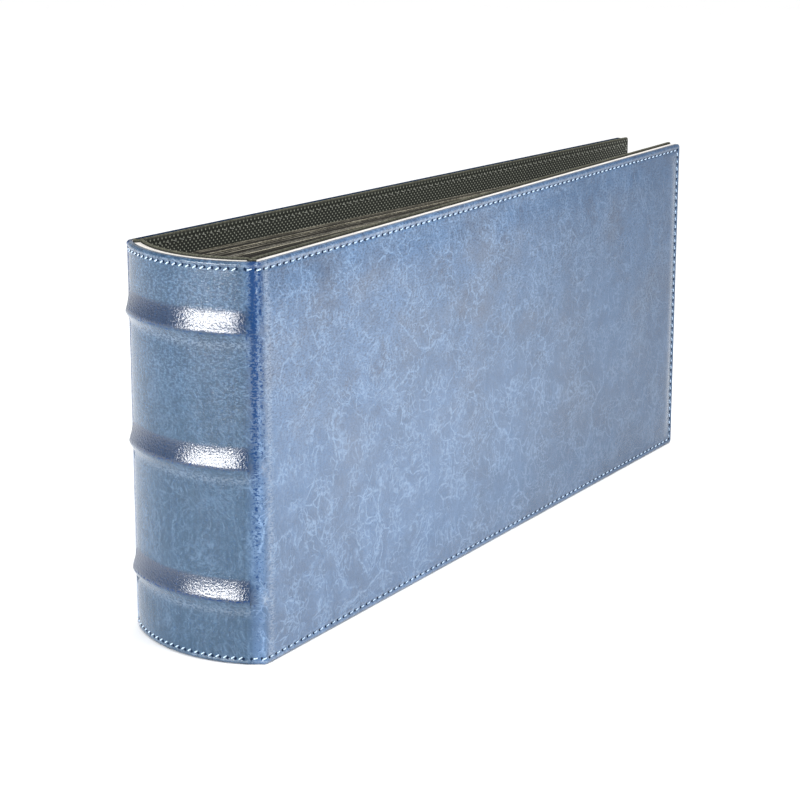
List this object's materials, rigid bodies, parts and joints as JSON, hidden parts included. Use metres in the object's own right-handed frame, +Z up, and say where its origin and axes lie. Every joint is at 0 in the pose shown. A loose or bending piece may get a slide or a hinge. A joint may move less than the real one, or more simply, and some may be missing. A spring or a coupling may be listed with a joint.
{
  "type": "stamp album",
  "caption": "Long padded album with a rounded, banded spine; two covers and pocket leaves swing open on vertical hinges.",
  "frame": {"origin": "centre of the base, on the plane that the tail edges stand on", "axes": "+X from the spine to the fore-edge, -Y towards the front cover's side, +Z up from tail to head"},
  "size_m": [0.3012, 0.0591, 0.1328],
  "materials": {
    "leather": "gloss",
    "padding": "matte",
    "board": "matte",
    "lining": "matte",
    "thread": "satin",
    "card": "matte",
    "cloth": "matte",
    "leaf": "satin"
  },
  "bodies": {
    "root": {"spine_leather": "leather", "spine_board": "board", "spine_lining": "lining", "raised_band_bottom": "card", "raised_band_middle": "card", "raised_band_top": "card", "spine_thread_bottom": "thread", "spine_thread_top": "thread", "block_backing": "cloth", "leaf_guard_01": "card", "leaf_guard_02": "card", "leaf_guard_03": "card", "leaf_guard_04": "card", "leaf_guard_05": "card", "leaf_guard_06": "card", "leaf_guard_07": "card", "leaf_guard_08": "card", "leaf_guard_09": "card", "leaf_guard_10": "card", "leaf_guard_11": "card", "leaf_guard_12": "card", "leaf_guard_13": "card", "leaf_guard_14": "card", "leaf_guard_15": "card"},
    "front_cover": {"front_cover_leather": "leather", "front_cover_padding": "padding", "front_cover_board": "board", "front_cover_lining": "lining", "front_cover_thread": "thread"},
    "back_cover": {"back_cover_leather": "leather", "back_cover_padding": "padding", "back_cover_board": "board", "back_cover_lining": "lining", "back_cover_thread": "thread"},
    "leaf_01_body": {"leaf_01": "leaf"},
    "leaf_02_body": {"leaf_02": "leaf"},
    "leaf_03_body": {"leaf_03": "leaf"},
    "leaf_04_body": {"leaf_04": "leaf"},
    "leaf_05_body": {"leaf_05": "leaf"},
    "leaf_06_body": {"leaf_06": "leaf"},
    "leaf_07_body": {"leaf_07": "leaf"},
    "leaf_08_body": {"leaf_08": "leaf"},
    "leaf_09_body": {"leaf_09": "leaf"},
    "leaf_10_body": {"leaf_10": "leaf"},
    "leaf_11_body": {"leaf_11": "leaf"},
    "leaf_12_body": {"leaf_12": "leaf"},
    "leaf_13_body": {"leaf_13": "leaf"},
    "leaf_14_body": {"leaf_14": "leaf"},
    "leaf_15_body": {"leaf_15": "leaf"},
    "leaf_16_body": {"leaf_16": "leaf"}
  },
  "joints": [
    {"name": "front_cover_hinge", "type": "hinge", "parent": "root", "child": "front_cover", "pos_m": [-0.13923, -0.029, 0.066], "axis": [0, 0, -1], "range_deg": [0, 175]},
    {"name": "back_cover_hinge", "type": "hinge", "parent": "root", "child": "back_cover", "pos_m": [-0.13923, 0.029, 0.066], "axis": [0, 0, 1], "range_deg": [-2, 175]},
    {"name": "leaf_01_hinge", "type": "hinge", "parent": "root", "child": "leaf_01_body", "pos_m": [-0.12473, -0.02201, 0.066], "axis": [0, 0, -1], "range_deg": [0, 82.75]},
    {"name": "leaf_02_hinge", "type": "hinge", "parent": "root", "child": "leaf_02_body", "pos_m": [-0.12473, -0.01951, 0.066], "axis": [0, 0, -1], "range_deg": [0, 77.5]},
    {"name": "leaf_03_hinge", "type": "hinge", "parent": "root", "child": "leaf_03_body", "pos_m": [-0.12473, -0.01701, 0.066], "axis": [0, 0, -1], "range_deg": [0, 72.25]},
    {"name": "leaf_04_hinge", "type": "hinge", "parent": "root", "child": "leaf_04_body", "pos_m": [-0.12473, -0.01451, 0.066], "axis": [0, 0, -1], "range_deg": [0, 67]},
    {"name": "leaf_05_hinge", "type": "hinge", "parent": "root", "child": "leaf_05_body", "pos_m": [-0.12473, -0.01201, 0.066], "axis": [0, 0, -1], "range_deg": [0, 61.75]},
    {"name": "leaf_06_hinge", "type": "hinge", "parent": "root", "child": "leaf_06_body", "pos_m": [-0.12473, -0.00951, 0.066], "axis": [0, 0, -1], "range_deg": [0, 56.5]},
    {"name": "leaf_07_hinge", "type": "hinge", "parent": "root", "child": "leaf_07_body", "pos_m": [-0.12473, -0.00701, 0.066], "axis": [0, 0, -1], "range_deg": [0, 51.25]},
    {"name": "leaf_08_hinge", "type": "hinge", "parent": "root", "child": "leaf_08_body", "pos_m": [-0.12473, -0.00451, 0.066], "axis": [0, 0, -1], "range_deg": [0, 46]},
    {"name": "leaf_09_hinge", "type": "hinge", "parent": "root", "child": "leaf_09_body", "pos_m": [-0.12473, -0.00201, 0.066], "axis": [0, 0, -1], "range_deg": [0, 40.75]},
    {"name": "leaf_10_hinge", "type": "hinge", "parent": "root", "child": "leaf_10_body", "pos_m": [-0.12473, 0.00049, 0.066], "axis": [0, 0, -1], "range_deg": [0, 35.5]},
    {"name": "leaf_11_hinge", "type": "hinge", "parent": "root", "child": "leaf_11_body", "pos_m": [-0.12473, 0.00299, 0.066], "axis": [0, 0, -1], "range_deg": [0, 30.25]},
    {"name": "leaf_12_hinge", "type": "hinge", "parent": "root", "child": "leaf_12_body", "pos_m": [-0.12473, 0.00549, 0.066], "axis": [0, 0, -1], "range_deg": [0, 25]},
    {"name": "leaf_13_hinge", "type": "hinge", "parent": "root", "child": "leaf_13_body", "pos_m": [-0.12473, 0.00799, 0.066], "axis": [0, 0, -1], "range_deg": [0, 19.75]},
    {"name": "leaf_14_hinge", "type": "hinge", "parent": "root", "child": "leaf_14_body", "pos_m": [-0.12473, 0.01049, 0.066], "axis": [0, 0, -1], "range_deg": [0, 14.5]},
    {"name": "leaf_15_hinge", "type": "hinge", "parent": "root", "child": "leaf_15_body", "pos_m": [-0.12473, 0.01299, 0.066], "axis": [0, 0, -1], "range_deg": [0, 9.25]},
    {"name": "leaf_16_hinge", "type": "hinge", "parent": "root", "child": "leaf_16_body", "pos_m": [-0.12473, 0.01549, 0.066], "axis": [0, 0, -1], "range_deg": [0, 4]}
  ],
  "couplings": [
    {"joint": "leaf_01_hinge", "follows": "front_cover_hinge", "ratio": 0.47},
    {"joint": "leaf_02_hinge", "follows": "front_cover_hinge", "ratio": 0.44},
    {"joint": "leaf_03_hinge", "follows": "front_cover_hinge", "ratio": 0.41},
    {"joint": "leaf_04_hinge", "follows": "front_cover_hinge", "ratio": 0.38},
    {"joint": "leaf_05_hinge", "follows": "front_cover_hinge", "ratio": 0.35},
    {"joint": "leaf_06_hinge", "follows": "front_cover_hinge", "ratio": 0.32},
    {"joint": "leaf_07_hinge", "follows": "front_cover_hinge", "ratio": 0.29},
    {"joint": "leaf_08_hinge", "follows": "front_cover_hinge", "ratio": 0.26},
    {"joint": "leaf_09_hinge", "follows": "front_cover_hinge", "ratio": 0.23},
    {"joint": "leaf_10_hinge", "follows": "front_cover_hinge", "ratio": 0.2},
    {"joint": "leaf_11_hinge", "follows": "front_cover_hinge", "ratio": 0.17},
    {"joint": "leaf_12_hinge", "follows": "front_cover_hinge", "ratio": 0.14},
    {"joint": "leaf_13_hinge", "follows": "front_cover_hinge", "ratio": 0.11},
    {"joint": "leaf_14_hinge", "follows": "front_cover_hinge", "ratio": 0.08},
    {"joint": "leaf_15_hinge", "follows": "front_cover_hinge", "ratio": 0.05},
    {"joint": "leaf_16_hinge", "follows": "front_cover_hinge", "ratio": 0.02}
  ]
}
